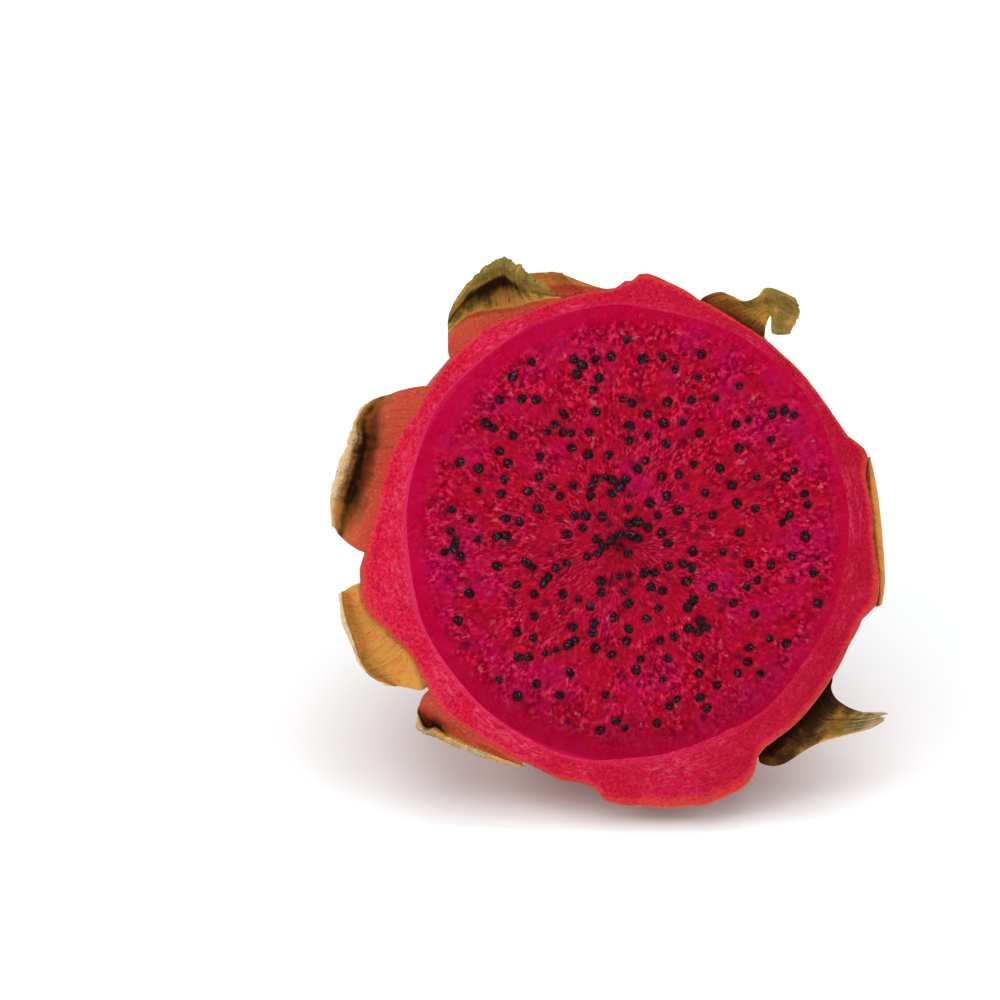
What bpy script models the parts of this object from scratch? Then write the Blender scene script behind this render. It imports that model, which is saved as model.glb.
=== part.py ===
"""Half a dragon fruit, cut across and at rest on the small flat spot under its rind.

The fruit is laid out about its own axis: X to the right and Z up on the cut face, and Y back
through the fruit to the stalk. An empty then tips that frame back onto the flat spot, whose
middle is the world origin. Everything is in metres.
"""

import math
from collections import namedtuple

import bmesh
import bpy
from mathutils import Matrix, Vector

MM = 0.001

# The body of the fruit
BODY_RADIUS = 45.6 * MM
BODY_DEPTH = 62.0 * MM
BODY_SQUARENESS = 2.8
TIP_BACK = math.radians(22.0)
FLAT_SPOT_DEPTH = 0.9 * MM
STALK_DIMPLE_DEPTH = 3.0 * MM
STALK_DIMPLE_RADIUS = 9.0 * MM

# The flesh, a little off the middle of the rind
RIND_AT_SIDE = 4.2 * MM
RIND_AT_TOP = 2.8 * MM
RIND_AT_STALK = 7.0 * MM
FLESH_SHIFT_X = 1.0 * MM
FLESH_SHIFT_Z = 1.2 * MM

# The stub of the stalk
STALK_RADIUS = 4.6 * MM
STALK_TOP_RADIUS = 3.8 * MM
STALK_LENGTH = 6.0 * MM

# How pieces meet
CLEARANCE = 0.3 * MM
CUTTER_OVERRUN = 2.0 * MM
SCALE_SINK = 3.0 * MM
SCALE_TIP_HALF_WIDTH = 0.9 * MM
SCALE_TIP_THICKNESS_SHARE = 0.4
SCALE_BLUNTNESS = 0.7
SCALE_LEAN_POWER = 1.5
RIDGE_FADE_POWER = 1.5

# Mesh density
RIND_SEGMENTS = 72
RIND_RINGS = 15
FLESH_SEGMENTS = 44
FLESH_RINGS = 11
SCALE_COLUMNS = 5
SCALE_ROWS = 6
SCALE_CURVE_STEPS = 24
FLAT_SPOT_STEPS = 2000
STALK_SIDES = 14

# A ridge is the base of a scale that the knife went through: it starts and ends at these
# angles on the cut face, anticlockwise from +X in degrees, with a height and an edge at each.
Ridge = namedtuple("Ridge", "start end start_height end_height start_edge end_edge reach")
RIDGES = (
    Ridge(58, 87, 0.8 * MM, 4.1 * MM, 12, 6, 24 * MM),
    Ridge(-19, 17, 2.4 * MM, 3.2 * MM, 6, 6, 22 * MM),
    Ridge(-61, -38, 2.0 * MM, 0.6 * MM, 5, 12, 20 * MM),
    Ridge(-93, -66, 3.4 * MM, 6.2 * MM, 4, 5, 24 * MM),
    Ridge(-150, -122, 0.8 * MM, 0.6 * MM, 8, 12, 26 * MM),
    Ridge(-184, -156, 2.2 * MM, 2.8 * MM, 9, 4, 22 * MM),
)

# A scale grows out of the skin at an angle and a depth behind the cut. It leaves the skin at
# its lift, turns towards the cut by its curl, and its tip moves round the fruit by its lean.
# The taper says how blunt it is, and the cup how far its sides stand forward of its middle.
Scale = namedtuple("Scale", "name angle depth width length lift curl lean taper cup thickness")
RIM_SCALES = (
    Scale("scale_top_left", 117, 9 * MM, 24 * MM, 21 * MM, 84, 120, -1 * MM, 3.0, 2 * MM, 3.2 * MM),
    Scale("scale_top", 97, 8 * MM, 8 * MM, 10 * MM, 74, 40, 1 * MM, 1.6, 1 * MM, 2.4 * MM),
    Scale("scale_top_right", 64, 11 * MM, 17 * MM, 18 * MM, 68, 55, -11 * MM, 1.8, 2 * MM, 2.4 * MM),
    Scale("scale_right", 0, 14 * MM, 30 * MM, 16 * MM, 44, 38, -3 * MM, 2.6, 3 * MM, 2.6 * MM),
    Scale("scale_bottom_right", -49, 10 * MM, 22 * MM, 20 * MM, 62, 30, 13 * MM, 1.2, 2 * MM, 2.6 * MM),
    Scale("scale_bottom_left", -127, 12 * MM, 25 * MM, 15 * MM, 58, 40, -8 * MM, 1.8, 2 * MM, 2.6 * MM),
    Scale("scale_lower_left", -159, 8 * MM, 24 * MM, 14 * MM, 80, 55, -1 * MM, 3.6, 1 * MM, 2.8 * MM),
    Scale("scale_left", 162, 9 * MM, 34 * MM, 21 * MM, 82, 150, 2 * MM, 3.4, 3 * MM, 3.2 * MM),
)

# The rows behind the rim hold scales at even steps round the fruit, each row at its own distance
# from the body's far end. A row has no scale within BARE_UNDERSIDE degrees of straight down,
# where the fruit rests, and every other scale leans the other way.
Row = namedtuple("Row", "name places first_angle from_end width length lift curl lean taper cup thickness")
BACK_ROWS = (
    Row("middle", 9, 158, 20 * MM, 27 * MM, 19 * MM, 10, -3, 2 * MM, 1.9, -1 * MM, 3.0 * MM),
    Row("shoulder", 9, 138, 11 * MM, 17 * MM, 14 * MM, 17, -4, 1 * MM, 1.7, -1 * MM, 2.6 * MM),
    Row("stalk", 4, 135, 4 * MM, 10 * MM, 10 * MM, 22, -4, 0 * MM, 1.4, 0 * MM, 2.2 * MM),
)
BARE_UNDERSIDE = 34


def back_scales():
    """The scales of the rows behind the rim, counted round each row."""
    scales = []
    for row in BACK_ROWS:
        number = 0
        for place in range(row.places):
            angle = row.first_angle - place * 360 / row.places
            from_below = abs((angle + 90 + 180) % 360 - 180)
            if from_below < BARE_UNDERSIDE:
                continue
            number += 1
            scales.append(
                Scale(
                    name=f"scale_{row.name}_{number}",
                    angle=angle,
                    depth=BODY_DEPTH - row.from_end,
                    width=row.width,
                    length=row.length,
                    lift=row.lift,
                    curl=row.curl,
                    lean=row.lean if place % 2 else -row.lean,
                    taper=row.taper,
                    cup=row.cup,
                    thickness=row.thickness,
                )
            )
    return scales


def clear_scene():
    for old in list(bpy.data.objects):
        bpy.data.objects.remove(old, do_unlink=True)


def new_collection(name):
    collection = bpy.data.collections.new(name)
    bpy.context.scene.collection.children.link(collection)
    return collection


def new_material(name, colour, roughness, metallic=0.0):
    material = bpy.data.materials.new(name)
    material.use_nodes = True
    shader = material.node_tree.nodes["Principled BSDF"]
    shader.inputs["Base Color"].default_value = (*colour, 1.0)
    shader.inputs["Roughness"].default_value = roughness
    shader.inputs["Metallic"].default_value = metallic
    return material


def finish_object(name, mesh, collection, parent=None, material=None):
    """Turns a bmesh into an object, shaded smooth apart from its sharp edges."""
    bmesh.ops.recalc_face_normals(mesh, faces=mesh.faces)
    data = bpy.data.meshes.new(name)
    mesh.to_mesh(data)
    mesh.free()
    data.shade_smooth()
    data.set_sharp_from_angle(angle=math.radians(40))
    if material:
        data.materials.append(material)
    made = bpy.data.objects.new(name, data)
    made.parent = parent
    collection.objects.link(made)
    return made


def hide_cutter(cutter):
    cutter.hide_render = True
    cutter.display_type = "WIRE"
    return cutter


def subtract(piece, cutter):
    modifier = piece.modifiers.new("cut_by_" + cutter.name, "BOOLEAN")
    modifier.operation = "DIFFERENCE"
    modifier.solver = "EXACT"
    modifier.object = cutter


def smooth_step(value):
    value = min(max(value, 0.0), 1.0)
    return value * value * (3.0 - 2.0 * value)


def ridge_height(ridge, degrees, depth):
    """How far one ridge stands out of the skin. It is tallest at the cut and fades behind it."""
    turn = (degrees - ridge.start + 180.0) % 360.0 - 180.0
    span = ridge.end - ridge.start
    share = min(max(turn / span, 0.0), 1.0)
    height = ridge.start_height + (ridge.end_height - ridge.start_height) * share
    height *= smooth_step(1.0 + turn / ridge.start_edge) * smooth_step(1.0 + (span - turn) / ridge.end_edge)
    return height * max(1.0 - depth / ridge.reach, 0.0) ** RIDGE_FADE_POWER


def profile_radius(depth):
    """The skin's distance from the axis at a depth, ridges left out."""
    share = min(max(depth / BODY_DEPTH, 0.0), 1.0)
    return BODY_RADIUS * (1.0 - share**BODY_SQUARENESS) ** (1.0 / BODY_SQUARENESS)


def superellipse_point(radius, depth, squareness, latitude):
    """(distance from the axis, depth) where a ray at this latitude meets the profile."""
    out, back = math.cos(latitude), math.sin(latitude)
    length = ((out / radius) ** squareness + (back / depth) ** squareness) ** (-1.0 / squareness)
    return length * out, length * back


def skin_point(angle, latitude, grow):
    """A point of the outer skin, moved out by grow."""
    out, back = superellipse_point(BODY_RADIUS, BODY_DEPTH, BODY_SQUARENESS, latitude)
    degrees = math.degrees(angle)
    out += max(ridge_height(ridge, degrees, back) for ridge in RIDGES) if out > BODY_RADIUS / 2 else 0.0
    back -= STALK_DIMPLE_DEPTH * math.exp(-((out / STALK_DIMPLE_RADIUS) ** 2))
    out += grow * math.cos(latitude)
    back += grow * math.sin(latitude)
    return Vector((out * math.cos(angle), back, out * math.sin(angle)))


def flesh_point(angle, latitude, grow):
    """A point on the outside of the flesh, moved out by grow."""
    half_width = BODY_RADIUS - RIND_AT_SIDE
    half_height = BODY_RADIUS - RIND_AT_TOP
    out, back = superellipse_point(half_width, BODY_DEPTH - RIND_AT_STALK, BODY_SQUARENESS, latitude)
    x = FLESH_SHIFT_X + (out + grow * math.cos(latitude)) * math.cos(angle)
    z = FLESH_SHIFT_Z + (out * half_height / half_width + grow * math.cos(latitude)) * math.sin(angle)
    return Vector((x, back + grow * math.sin(latitude), z))


def dome_mesh(segments, rings, point_at, grow, front):
    """Half a sphere about +Y, each vertex moved to point_at(angle, latitude, grow) and its flat
    front moved to the depth given as front."""
    mesh = bmesh.new()
    bmesh.ops.create_uvsphere(mesh, u_segments=segments, v_segments=2 * rings, radius=1.0)
    bmesh.ops.rotate(mesh, verts=mesh.verts, cent=Vector(), matrix=Matrix.Rotation(-math.pi / 2, 3, "X"))
    ahead = [vertex for vertex in mesh.verts if vertex.co.y < -0.5 / rings]
    bmesh.ops.delete(mesh, geom=ahead, context="VERTS")
    bmesh.ops.holes_fill(mesh, edges=mesh.edges, sides=0)
    for vertex in mesh.verts:
        x, y, z = vertex.co
        latitude = max(math.asin(min(y, 1.0)), 0.0)
        vertex.co = point_at(math.atan2(z, x), latitude, grow)
        if latitude < 0.5 / rings:
            vertex.co.y = front
    return mesh


def rest_height():
    """The height of the cut face's middle when the body stands on its lowest point."""
    power = BODY_SQUARENESS / (BODY_SQUARENESS - 1.0)
    back = (BODY_DEPTH * math.sin(TIP_BACK)) ** power
    down = (BODY_RADIUS * math.cos(TIP_BACK)) ** power
    return (back + down) ** (1.0 / power)


def flat_spot_middle(height):
    """How far behind the cut face's middle, along the ground, the flat spot's middle lies."""
    reached = []
    for step in range(FLAT_SPOT_STEPS + 1):
        latitude = step / FLAT_SPOT_STEPS * math.pi / 2
        out, back = superellipse_point(BODY_RADIUS, BODY_DEPTH, BODY_SQUARENESS, latitude)
        if back * math.sin(TIP_BACK) + out * math.cos(TIP_BACK) > height:
            reached.append(back * math.cos(TIP_BACK) - out * math.sin(TIP_BACK))
    return (min(reached) + max(reached)) / 2


def skin_slope(depth):
    """The angle by which the skin, followed towards the cut, climbs away from the axis."""
    step = 0.1 * MM
    return math.atan2(profile_radius(depth - step) - profile_radius(depth + step), 2 * step)


def blade_point(scale, across, along):
    """A point on a scale's middle sheet: across runs from -1 to 1, and along from root to tip."""
    skin = skin_slope(scale.depth)
    forward, out = SCALE_SINK * math.sin(skin), -SCALE_SINK * math.cos(skin)
    step_length = scale.length * along / SCALE_CURVE_STEPS
    for step in range(SCALE_CURVE_STEPS):
        share = (step + 0.5) / SCALE_CURVE_STEPS * along
        slope = skin + math.radians(scale.lift - scale.curl * share * share)
        forward += step_length * math.cos(slope)
        out += step_length * math.sin(slope)
    end_slope = skin + math.radians(scale.lift - scale.curl * along * along)
    taper = (1.0 - along**scale.taper) ** SCALE_BLUNTNESS
    half_width = SCALE_TIP_HALF_WIDTH + (scale.width / 2 - SCALE_TIP_HALF_WIDTH) * taper
    side = scale.lean * along**SCALE_LEAN_POWER + half_width * across
    cup = scale.cup * across * across * math.sin(math.pi * along)
    forward += cup * math.sin(end_slope)
    out -= cup * math.cos(end_slope)
    turn = math.radians(scale.angle) + side / (profile_radius(scale.depth) + max(out, 0.0))
    distance = profile_radius(scale.depth) + out
    return Vector((distance * math.cos(turn), scale.depth - forward, distance * math.sin(turn)))


def make_scale(scale, collection, parent, material, seat):
    """A blade that thins to its tip, cut where it meets the skin."""
    mesh = bmesh.new()
    bmesh.ops.create_grid(mesh, x_segments=SCALE_COLUMNS, y_segments=SCALE_ROWS, size=1.0)
    weight = mesh.verts.layers.deform.new()
    for vertex in mesh.verts:
        across, along = vertex.co.x, (vertex.co.y + 1.0) / 2
        vertex[weight][0] = 1.0 - along
        vertex.co = blade_point(scale, across, along)
    made = finish_object(scale.name, mesh, collection, parent, material)
    made.vertex_groups.new(name="root")
    shell = made.modifiers.new("thickness", "SOLIDIFY")
    shell.thickness = scale.thickness
    shell.offset = 0.0
    shell.vertex_group = "root"
    shell.thickness_vertex_group = SCALE_TIP_THICKNESS_SHARE
    subtract(made, seat)
    return made


def make_stalk(collection, parent, material, seat):
    mesh = bmesh.new()
    bmesh.ops.create_cone(
        mesh,
        cap_ends=True,
        segments=STALK_SIDES,
        radius1=STALK_RADIUS,
        radius2=STALK_TOP_RADIUS,
        depth=STALK_LENGTH + SCALE_SINK,
    )
    bmesh.ops.rotate(mesh, verts=mesh.verts, cent=Vector(), matrix=Matrix.Rotation(-math.pi / 2, 3, "X"))
    middle = BODY_DEPTH - STALK_DIMPLE_DEPTH + (STALK_LENGTH - SCALE_SINK) / 2
    bmesh.ops.translate(mesh, verts=mesh.verts, vec=Vector((0.0, middle, 0.0)))
    made = finish_object("stem_stub", mesh, collection, parent, material)
    subtract(made, seat)
    return made


def make_floor_cutter(collection):
    """A slab whose top is the plane that the fruit rests on."""
    mesh = bmesh.new()
    bmesh.ops.create_cube(mesh, size=4 * BODY_RADIUS)
    bmesh.ops.translate(mesh, verts=mesh.verts, vec=Vector((0.0, 0.0, -2 * BODY_RADIUS)))
    return hide_cutter(finish_object("floor_cutter", mesh, collection))


def main():
    clear_scene()
    fruit = new_collection("dragon_fruit")
    cutters = new_collection("cutters")

    height = rest_height() - FLAT_SPOT_DEPTH
    tipped = bpy.data.objects.new("tipped_back", None)
    tipped.location = (0.0, -flat_spot_middle(height), height)
    tipped.rotation_euler = (-TIP_BACK, 0.0, 0.0)
    fruit.objects.link(tipped)

    rind_pink = new_material("rind_pink", (0.62, 0.03, 0.06), 0.45)
    flesh_crimson = new_material("flesh_crimson", (0.45, 0.0, 0.07), 0.2)
    scale_ochre = new_material("scale_ochre", (0.52, 0.24, 0.07), 0.6)
    stalk_brown = new_material("stalk_brown", (0.25, 0.15, 0.06), 0.8)

    cavity_mesh = dome_mesh(FLESH_SEGMENTS, FLESH_RINGS, flesh_point, CLEARANCE, -CUTTER_OVERRUN)
    cavity = hide_cutter(finish_object("flesh_cavity", cavity_mesh, cutters, tipped))
    seat_mesh = dome_mesh(RIND_SEGMENTS, RIND_RINGS, skin_point, CLEARANCE, -CLEARANCE)
    seat = hide_cutter(finish_object("scale_seat", seat_mesh, cutters, tipped))
    floor = make_floor_cutter(cutters)

    flesh_mesh = dome_mesh(FLESH_SEGMENTS, FLESH_RINGS, flesh_point, 0.0, 0.0)
    finish_object("flesh", flesh_mesh, fruit, tipped, flesh_crimson)
    rind_mesh = dome_mesh(RIND_SEGMENTS, RIND_RINGS, skin_point, 0.0, 0.0)
    rind = finish_object("rind", rind_mesh, fruit, tipped, rind_pink)
    subtract(rind, cavity)
    subtract(rind, floor)

    for scale in [*RIM_SCALES, *back_scales()]:
        make_scale(scale, fruit, tipped, scale_ochre, seat)
    make_stalk(fruit, tipped, stalk_brown, seat)


main()
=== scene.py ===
"""The looks of half a dragon fruit: wet flesh with seeds, the cut rind, the skin and its dried scales.

Every piece is first laid out in the fruit's own frame, in millimetres: x to the right and z up on
the cut face, and y back through the fruit to the stalk. place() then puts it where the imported
model has it.
"""

import math
from collections import namedtuple

import bmesh
import bpy
import numpy as np
from mathutils import Euler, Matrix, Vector


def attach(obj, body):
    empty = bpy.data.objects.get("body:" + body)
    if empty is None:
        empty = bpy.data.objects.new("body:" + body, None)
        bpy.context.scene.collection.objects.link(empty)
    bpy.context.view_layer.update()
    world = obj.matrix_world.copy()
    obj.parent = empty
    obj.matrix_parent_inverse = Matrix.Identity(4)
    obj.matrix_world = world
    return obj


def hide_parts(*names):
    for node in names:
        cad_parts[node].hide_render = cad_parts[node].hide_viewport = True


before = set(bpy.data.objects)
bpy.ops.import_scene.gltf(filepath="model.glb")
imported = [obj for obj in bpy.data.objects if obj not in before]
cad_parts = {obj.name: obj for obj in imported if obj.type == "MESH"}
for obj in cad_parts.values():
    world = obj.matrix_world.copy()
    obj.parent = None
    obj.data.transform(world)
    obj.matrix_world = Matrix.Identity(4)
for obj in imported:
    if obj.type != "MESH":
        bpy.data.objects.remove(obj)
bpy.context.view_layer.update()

bl_info = {
    "name": "Dragon Fruit Half",
    "version": (1, 0, 0),
    "blender": (4, 5, 0),
    "location": "View3D > Sidebar > Dragon Fruit",
    "description": "Builds the flesh, seeds, rind, scales and stalk of half a dragon fruit",
    "category": "Object",
}

MM = 0.001
TIP_BACK = math.radians(22.0)
BODY_RADIUS = 45.6
BODY_DEPTH = 62.0
BODY_SQUARENESS = 2.8
STALK_DIMPLE_DEPTH = 3.0
STALK_DIMPLE_RADIUS = 9.0
FLESH_SHIFT_X = 1.0
FLESH_SHIFT_Z = 1.2
FLESH_HALF_WIDTH = 41.4
FLESH_HALF_HEIGHT = 42.8
FLESH_DEPTH = 55.0
# How many times brighter the studio's light is than one that shows every surface at its own colour
STUDIO_LIGHT = 1.3

# The rim of the cut: the skin's distance from the body's axis at each angle, in degrees
# anticlockwise from +X. It swells where the knife went through the base of a scale.
RIM = (
    (-177.5, 47.5), (-173.6, 48.6), (-167.7, 49.3), (-163.6, 48.8), (-160.2, 47.1), (-155, 45.2),
    (-151, 44.4), (-144, 44.8), (-139, 45.8), (-136, 46.1), (-130, 45.6), (-122, 45.1),
    (-114, 45.1), (-109, 45.5), (-104, 46.2), (-99, 46.0), (-96, 46.7), (-94.7, 47.6),
    (-93.4, 48.9), (-90, 49.6), (-84, 50.3), (-76.4, 51.4), (-72, 52.3), (-66, 52.1),
    (-63.8, 52.0), (-61, 51.0), (-59.5, 49.9), (-57.6, 48.0), (-54.7, 47.3), (-45, 47.3),
    (-35, 47.1), (-24, 46.8), (-18, 47.3), (-14.3, 49.0), (-9, 48.6), (-5, 47.8),
    (0.4, 46.9), (14.3, 46.9), (16, 47.2), (19, 48.4), (21, 48.1), (25, 46.2),
    (29, 45.8), (38, 45.5), (50, 45.6), (62, 46.0), (72, 46.9), (75.6, 47.8),
    (81, 48.9), (84.4, 49.7), (86.3, 49.4), (87.5, 48.2), (89.4, 48.0), (90.5, 47.1),
    (92.8, 46.4), (97, 46.5), (103, 46.2), (115, 45.9), (119.7, 46.7), (123.7, 47.1),
    (129, 46.4), (140, 45.6), (146, 44.8), (156, 45.5), (174, 45.7),
)
RIM_REACH = 22.0

# A scale on the rim is a sheet drawn smoothly through a cage of points. Each row of the cage has
# its tone from coral to olive, how much painted shade darkens it, how pale it has dried (the pale lip
# is partly a painted highlight), how far it stands forward of the cut, and its points (x, z) on the
# cut face. The first row is the one at the rim. The hollow is the place, from -1 to 1 across the
# scale, where it cups deepest, and how wide the cupping is: at 9 the whole row is even.
Cage = namedtuple("Cage", "name thickness ragged wrinkle hollow rows")
CAGES = (
    Cage("scale_left", 2.6, 0.5, 0.35, (0.1, 1.1), (
        (0.02, 0.00, 0.0, -0.2, (
            (-35.6, 28.7), (-38.2, 23.5), (-41.5, 18.5), (-43.9, 12.2), (-45.2, 6.3), (-47.5, -2.1))),
        (0.16, 0.50, 0.0, -0.7, (
            (-40.5, 28.0), (-43.4, 23.5), (-44.8, 18.3), (-46.1, 12.4), (-47.7, 6.6), (-50.1, -0.8))),
        (0.30, 1.00, 0.0, -3.0, (
            (-43.8, 26.7), (-47.1, 22.2), (-47.4, 17.7), (-48.8, 12.0), (-50.7, 6.6), (-52.0, 0.8))),
        (0.38, 0.60, 0.5, 3.0, (
            (-46.8, 25.7), (-48.4, 23.0), (-49.1, 18.6), (-50.9, 12.2), (-52.7, 7.8), (-53.0, 2.6))),
        (0.38, 0.00, 1.0, 1.5, (
            (-48.3, 24.6), (-49.6, 21.3), (-50.7, 18.5), (-53.1, 11.5), (-53.7, 7.4), (-53.3, 2.6))),
    )),
    Cage("scale_top_left", 2.6, 0.8, 0.45, (-0.2, 0.8), (
        (0.02, 0.00, 0.0, -0.2, (
            (-31.7, 34.3), (-27.8, 37.6), (-24.2, 40.2), (-20.1, 41.4),
            (-16.8, 42.9), (-14.0, 44.0), (-10.9, 44.8))),
        (0.12, 0.00, 0.0, -0.6, (
            (-31.9, 37.6), (-28.8, 40.3), (-24.6, 41.9), (-20.4, 42.3),
            (-17.1, 43.4), (-14.2, 44.3), (-11.0, 44.9))),
        (0.38, 0.45, 0.0, -2.4, (
            (-31.9, 38.7), (-28.7, 41.7), (-24.8, 43.2), (-20.8, 43.6),
            (-17.6, 44.4), (-14.7, 44.9), (-11.2, 45.1))),
        (0.44, 1.00, 0.0, -3.5, (
            (-31.9, 40.3), (-28.6, 44.4), (-25.1, 46.6), (-21.4, 47.7),
            (-18.6, 46.6), (-15.8, 46.1), (-11.6, 45.3))),
        (0.49, 0.10, 0.1, 3.0, (
            (-31.3, 42.9), (-27.8, 47.1), (-24.5, 49.7), (-21.8, 50.6),
            (-19.4, 49.5), (-16.8, 47.9), (-12.6, 46.2))),
        (0.47, 0.00, 0.4, 2.0, (
            (-30.4, 44.9), (-28.9, 47.6), (-26.0, 50.9), (-21.6, 52.7),
            (-18.3, 51.3), (-16.5, 49.5), (-13.5, 46.9))),
    )),
    Cage("scale_top", 1.6, 0.4, 0.15, (-0.6, 0.8), (
        (0.02, 0.00, 0.0, -1.2, ((-14.0, 44.2), (-9.1, 45.7), (-6.3, 46.0), (-2.4, 46.2))),
        (0.26, 0.10, 0.0, -3.0, ((-15.8, 46.8), (-11.3, 47.6), (-8.7, 47.6), (-4.4, 46.9))),
        (0.42, 0.10, 0.2, -2.6, ((-17.8, 49.4), (-11.8, 49.7), (-10.2, 49.1), (-6.1, 47.5))),
    )),
    Cage("scale_top_right", 1.2, 0.2, 0.6, (0.0, 9.0), (
        (0.36, 0.10, 0.0, -9.0, ((14.4, 43.0), (17.9, 40.4), (22.0, 37.6), (25.8, 34.8))),
        (0.38, 0.05, 0.0, -6.0, ((15.5, 44.8), (18.9, 42.8), (22.6, 40.2), (26.7, 37.2))),
        (0.38, 0.05, 0.1, -3.0, ((18.8, 45.9), (21.4, 44.1), (24.0, 41.7), (26.8, 39.4))),
        (0.44, 0.30, 0.0, -1.0, ((22.1, 44.3), (23.5, 43.6), (25.2, 42.5), (27.2, 41.2))),
        (0.44, 0.10, 0.2, 1.0, ((24.9, 45.2), (26.0, 44.6), (26.9, 43.5), (27.5, 41.5))),
        (0.46, 0.10, 0.1, 3.0, ((26.5, 46.8), (28.0, 45.5), (28.4, 43.3), (27.5, 38.7))),
        (0.46, 0.00, 0.0, 2.0, ((29.4, 46.2), (30.5, 44.7), (30.5, 42.1), (29.1, 38.1))),
        (0.42, 0.00, 0.3, 0.0, ((32.1, 45.0), (32.8, 43.1), (32.7, 41.3), (31.2, 38.3))),
    )),
    Cage("scale_right", 1.4, 0.2, 0.1, (0.0, 9.0), (
        (0.20, 0.30, 0.0, -2.5, ((44.8, 15.2), (45.2, 8.3), (46.0, -0.1), (46.9, -7.6), (47.3, -12.5))),
        (0.26, 0.00, 0.0, -0.9, ((45.8, 15.5), (46.5, 8.5), (47.5, 0.1), (48.2, -7.4), (48.0, -12.3))),
        (0.32, 0.00, 0.3, -0.7, ((46.1, 15.8), (47.7, 8.3), (48.7, -0.8), (49.1, -7.4), (48.6, -11.9))),
    )),
    Cage("scale_bottom_right", 1.4, 0.9, 0.7, (0.0, 9.0), (
        (0.30, 1.00, 0.0, -5.0, ((39.8, -25.8), (36.1, -30.6), (32.0, -34.7), (26.0, -40.8))),
        (0.34, 0.90, 0.0, -3.5, ((39.5, -28.1), (37.1, -31.3), (33.2, -35.6), (26.6, -42.3))),
        (0.40, 0.80, 0.0, -2.0, ((40.5, -29.9), (38.3, -32.9), (35.2, -36.7), (30.3, -42.3))),
        (0.40, 0.60, 0.1, -1.0, ((42.9, -31.4), (41.0, -33.3), (38.8, -35.4), (36.4, -38.4))),
        (0.42, 0.15, 0.4, 0.0, ((45.4, -32.0), (44.3, -33.1), (43.2, -34.7), (41.9, -36.4))),
        (0.42, 0.05, 0.65, 0.5, ((47.6, -31.9), (47.2, -32.7), (47.0, -33.8), (46.7, -35.1))),
        (0.42, 0.05, 0.65, 1.0, ((50.1, -31.9), (50.1, -32.2), (49.9, -32.8), (49.7, -33.4))),
    )),
    Cage("scale_bottom_left", 1.6, 0.5, 0.4, (-0.6, 0.5), (
        (0.02, 0.00, 0.0, -0.2, (
            (-35.9, -28.3), (-34.0, -30.9), (-32.4, -32.8), (-30.1, -34.9),
            (-27.2, -37.1), (-23.1, -39.2), (-18.2, -41.8))),
        (0.06, 0.00, 0.0, -0.4, (
            (-36.8, -29.3), (-35.0, -32.1), (-33.1, -33.6), (-30.7, -35.1),
            (-27.7, -37.4), (-23.2, -39.4), (-18.2, -42.1))),
        (0.30, 0.90, 0.0, -3.5, (
            (-37.6, -31.8), (-36.0, -35.0), (-33.9, -34.9), (-31.8, -36.6),
            (-28.3, -38.4), (-23.6, -40.3), (-17.0, -42.6))),
        (0.40, 0.35, 0.5, 0.5, (
            (-37.7, -33.1), (-36.6, -35.3), (-34.6, -35.5), (-32.4, -36.5),
            (-28.6, -38.3), (-23.8, -40.0), (-17.0, -42.6))),
        (0.44, 0.40, 0.45, -1.0, (
            (-38.0, -35.0), (-37.0, -36.1), (-35.2, -36.9), (-32.6, -37.8),
            (-28.7, -39.5), (-24.2, -41.2), (-16.8, -42.9))),
    )),
    Cage("scale_lower_left", 2.0, 0.4, 0.2, (0.0, 9.0), (
        (0.30, 0.00, 0.0, -1.0, (
            (-48.3, -8.0), (-48.1, -11.2), (-46.8, -14.0), (-44.4, -16.2),
            (-41.8, -19.2), (-38.9, -21.6), (-36.8, -28.0))),
        (0.30, 0.00, 0.1, -1.5, (
            (-49.8, -8.6), (-49.6, -11.8), (-48.3, -14.6), (-46.5, -17.4),
            (-43.7, -20.8), (-40.6, -23.8), (-39.4, -27.7))),
        (0.33, 0.40, 0.0, -1.9, (
            (-51.3, -9.6), (-51.2, -12.0), (-50.4, -15.4), (-49.0, -19.3),
            (-47.3, -23.5), (-44.9, -25.7), (-41.7, -27.4))),
        (0.31, 0.00, 0.7, 0.3, (
            (-51.8, -9.5), (-51.6, -11.7), (-50.9, -15.1), (-49.4, -19.0),
            (-47.9, -23.3), (-45.2, -25.8), (-42.7, -27.1))),
        (0.33, 0.00, 0.7, -1.0, (
            (-52.4, -10.0), (-52.2, -11.9), (-51.7, -14.9), (-50.2, -19.4),
            (-48.5, -23.2), (-45.8, -25.6), (-43.9, -27.1))),
    )),
)

# A scale behind the rim: where its root is, and its shape. It leans to one side or the other in turn.
Blade = namedtuple("Blade", "name angle depth width length lift lean taper thickness ragged wrinkle")
# The rows behind the rim hold scales at even steps round the fruit. Each row has its number of
# places and its first scale. None lies within BARE_UNDERSIDE degrees of straight down.
BACK_ROWS = (
    (9, Blade("scale_middle", 158, BODY_DEPTH - 20, 24, 14, 4, 2, 1.9, 3.0, 0.8, 0.25)),
    (9, Blade("scale_shoulder", 138, BODY_DEPTH - 11, 17, 14, 13, 1, 1.7, 2.6, 0.8, 0.25)),
    (4, Blade("scale_stalk", 135, BODY_DEPTH - 4, 10, 10, 20, 0, 1.4, 2.2, 0.8, 0.25)),
)
BARE_UNDERSIDE = 34
STRAIGHT_DOWN = -90


def back_blades():
    """The scales of the rows behind the rim, numbered as the solids are."""
    blades = []
    for places, first in BACK_ROWS:
        number = 0
        for step in range(places):
            angle = first.angle - step * 360 / places
            if abs(turn_between(angle, STRAIGHT_DOWN)) < BARE_UNDERSIDE:
                continue
            number += 1
            lean = first.lean if step % 2 else -first.lean
            blades.append(first._replace(name=f"{first.name}_{number}", angle=angle, lean=lean))
    return blades


# ---- Shape helpers


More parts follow.
